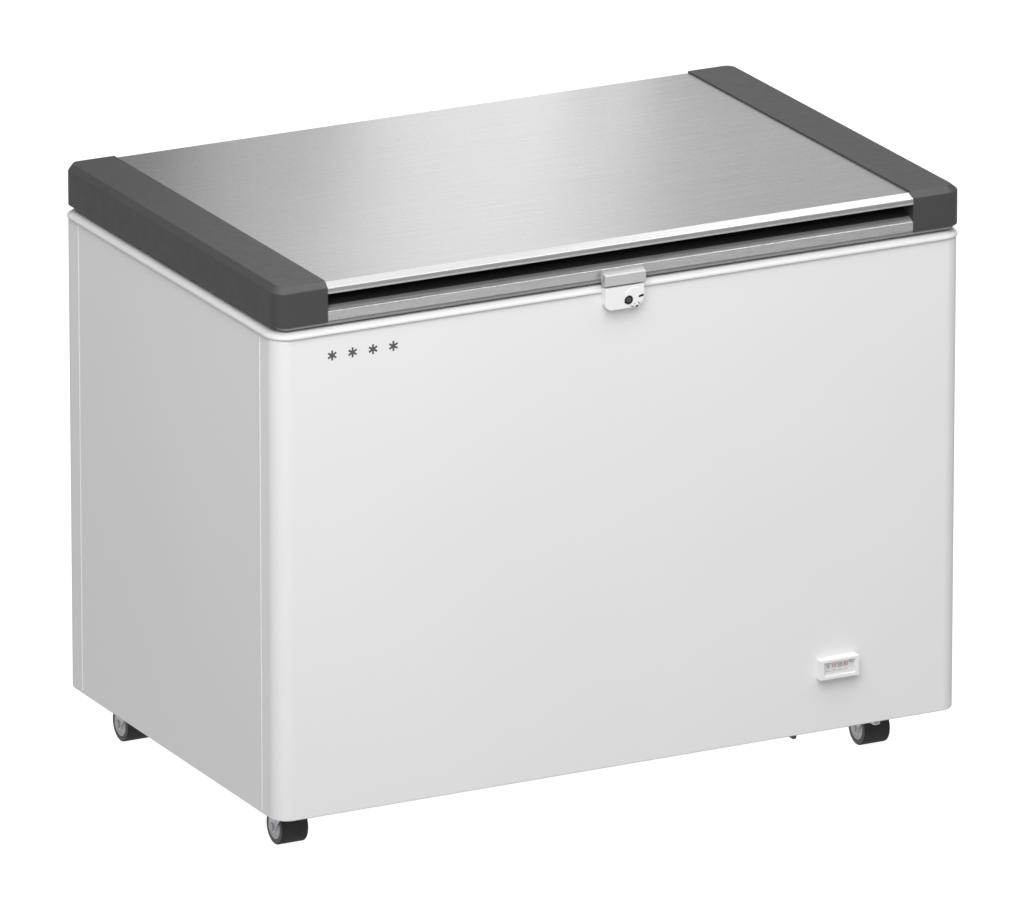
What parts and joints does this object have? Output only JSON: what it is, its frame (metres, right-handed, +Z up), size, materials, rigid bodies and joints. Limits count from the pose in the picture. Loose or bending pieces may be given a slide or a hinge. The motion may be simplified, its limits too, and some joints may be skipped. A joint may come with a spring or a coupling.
{
  "type": "chest freezer",
  "caption": "Commercial chest freezer with a flat steel worktop lid, dark end caps, front lock, thermometer and low fixed casters.",
  "frame": {"origin": "on the floor under the centre of the overall box", "axes": "+X to the freezer's right seen from the front, +Y to the rear, +Z up"},
  "size_m": [1.048, 0.7, 0.8273],
  "materials": {
    "white_paint": "satin",
    "white_plastic": "satin",
    "dark_plastic": "matte",
    "worktop_steel": "satin",
    "liner_white": "satin",
    "lid_liner_white": "satin",
    "foam": "matte",
    "gasket": "matte",
    "copper": "satin",
    "black_tube": "satin",
    "compressor_black": "satin",
    "galvanised": "satin",
    "hub_grey": "matte",
    "tyre": "matte",
    "black_plastic": "matte",
    "black_rubber": "matte",
    "screw_steel": "satin",
    "scale_card": "matte",
    "clear_window": "gloss"
  },
  "bodies": {
    "cabinet": {"front_panel": "white_paint", "rear_panel": "white_paint", "left_side_panel": "white_paint", "right_side_panel": "white_paint", "base_plate": "galvanised", "top_frame": "white_plastic", "inner_liner": "liner_white", "cabinet_foam": "foam", "evaporator_coil": "copper", "condenser_coil": "black_tube", "compressor": "compressor_black", "compressor_base": "galvanised", "compressor_grommets": "black_rubber", "relay_cover": "black_plastic", "filter_drier": "copper", "refrigerant_lines": "copper", "side_grille": "white_plastic", "grille_screws": "screw_steel", "power_inlet": "black_plastic", "drain_pipe": "black_plastic", "drain_spout": "white_plastic", "base_stop": "black_rubber", "lock_housing": "white_plastic", "hinge_base_left": "galvanised", "hinge_base_right": "galvanised", "hinge_pins": "screw_steel", "hinge_screws": "screw_steel", "hinge_springs": "screw_steel", "thermometer_bezel": "white_plastic", "thermometer_scale": "scale_card", "thermometer_window": "clear_window", "caster_axles": "screw_steel", "caster_bolts": "screw_steel", "caster_fork_front_left": "galvanised", "caster_fork_rear_left": "galvanised", "caster_fork_front_right": "galvanised", "caster_fork_rear_right": "galvanised"},
    "lid": {"lid_top_sheet": "worktop_steel", "lid_grip": "worktop_steel", "lid_end_cap_left": "dark_plastic", "lid_end_cap_right": "dark_plastic", "lid_underframe": "dark_plastic", "lid_gasket": "gasket", "lid_inner_liner": "lid_liner_white", "lid_foam": "foam", "lid_hasp": "worktop_steel", "hinge_arm_left": "galvanised", "hinge_arm_right": "galvanised", "hinge_arm_screws": "screw_steel"},
    "lock_barrel": {"lock_cylinder": "screw_steel"},
    "knob": {"thermostat_knob": "black_plastic"},
    "floor_plug": {"drain_plug": "black_rubber"},
    "wheel_front_left": {"caster_hub_front_left": "hub_grey", "caster_tyre_front_left": "tyre"},
    "wheel_rear_left": {"caster_hub_rear_left": "hub_grey", "caster_tyre_rear_left": "tyre"},
    "wheel_front_right": {"caster_hub_front_right": "hub_grey", "caster_tyre_front_right": "tyre"},
    "wheel_rear_right": {"caster_hub_rear_right": "hub_grey", "caster_tyre_rear_right": "tyre"}
  },
  "joints": [
    {"name": "lid_hinge", "type": "hinge", "parent": "cabinet", "child": "lid", "pos_m": [0, 0.3335, 0.765], "axis": [-1, 0, 0], "range_deg": [0, 80]},
    {"name": "lock_turn", "type": "hinge", "parent": "cabinet", "child": "lock_barrel", "pos_m": [0.002, -0.349, 0.742], "axis": [0, -1, 0], "range_deg": [0, 90]},
    {"name": "knob_turn", "type": "hinge", "parent": "cabinet", "child": "knob", "pos_m": [0.522, -0.122, 0.195], "axis": [1, 0, 0], "range_deg": [0, 270]},
    {"name": "plug_lift", "type": "slide", "parent": "cabinet", "child": "floor_plug", "axis": [0, 0, 1], "range_m": [0, 0.05]},
    {"name": "wheel_spin_front_left", "type": "hinge", "parent": "cabinet", "child": "wheel_front_left", "pos_m": [-0.44845, -0.216, 0.025], "axis": [1, 0, 0], "continuous": true},
    {"name": "wheel_spin_rear_left", "type": "hinge", "parent": "cabinet", "child": "wheel_rear_left", "pos_m": [-0.44845, 0.2629, 0.025], "axis": [1, 0, 0], "continuous": true},
    {"name": "wheel_spin_front_right", "type": "hinge", "parent": "cabinet", "child": "wheel_front_right", "pos_m": [0.44845, -0.216, 0.025], "axis": [1, 0, 0], "continuous": true},
    {"name": "wheel_spin_rear_right", "type": "hinge", "parent": "cabinet", "child": "wheel_rear_right", "pos_m": [0.44845, 0.2629, 0.025], "axis": [1, 0, 0], "continuous": true}
  ]
}
